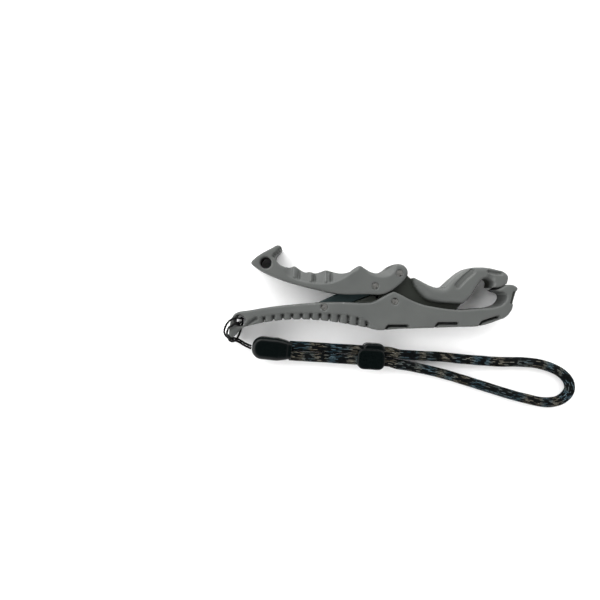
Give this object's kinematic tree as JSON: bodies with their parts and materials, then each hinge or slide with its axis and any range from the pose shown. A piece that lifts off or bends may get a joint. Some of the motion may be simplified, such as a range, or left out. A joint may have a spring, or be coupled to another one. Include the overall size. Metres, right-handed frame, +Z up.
{
  "type": "lip grip",
  "caption": "Fish lip gripper with a toggle-locked lever handle, finger grooves, hooked tail and a looped wrist lanyard with a slider.",
  "frame": {"origin": "under the middle of the gripper's footprint as it lies on its side, without the lanyard", "axes": "+X from the handles to the jaws, +Y from the fixed handle to the lever handle, +Z up through the gripper's thickness"},
  "size_m": [0.1911, 0.0874, 0.0159],
  "materials": {
    "grey_moulding": "matte fine-textured moulded nylon, mid grey",
    "dark_moulding": "dark green-black moulded nylon",
    "spring_pins": "satin stainless steel",
    "black_moulding": "black moulded plastic with a slight sheen",
    "tether_twine": "black braided thin cord",
    "paracord": "black camouflage braided sheath with grey, tan and blue-green flecks"
  },
  "bodies": {
    "frame": {"fixed_handle_and_jaw": "grey_moulding", "jaw_pivot_pin": "spring_pins", "link_body_pin": "spring_pins", "cord_end_cap": "black_moulding", "tether_cord": "tether_twine", "strap_cord": "paracord"},
    "jaw": {"upper_jaw": "grey_moulding", "lever_pivot_pin": "spring_pins"},
    "lever": {"lever_handle": "grey_moulding", "link_lever_pin": "spring_pins"},
    "link": {"toggle_link": "dark_moulding"},
    "slider": {"strap_slider": "black_moulding"}
  },
  "joints": [
    {"name": "jaw_pivot", "type": "hinge", "parent": "frame", "child": "jaw", "pos_m": [0.01117, -0.0052, 0.007], "axis": [0, 0, 1], "range_deg": [0, 20.4]},
    {"name": "lever_pivot", "type": "hinge", "parent": "jaw", "child": "lever", "pos_m": [0.01373, 0.00959, 0.007], "axis": [0, 0, -1], "range_deg": [0, 59.5]},
    {"name": "link_pivot", "type": "hinge", "parent": "frame", "child": "link", "pos_m": [-0.02588, -0.00818, 0.007], "axis": [0, 0, 1], "range_deg": [0, 24]},
    {"name": "slider_travel", "type": "slide", "parent": "frame", "child": "slider", "axis": [-0.998, 0.0628, 0], "range_m": [0, 0.034]}
  ],
  "couplings": [
    {"joint": "jaw_pivot", "follows": "lever_pivot", "ratio": 0.3424},
    {"joint": "link_pivot", "follows": "lever_pivot", "ratio": 0.4025}
  ]
}
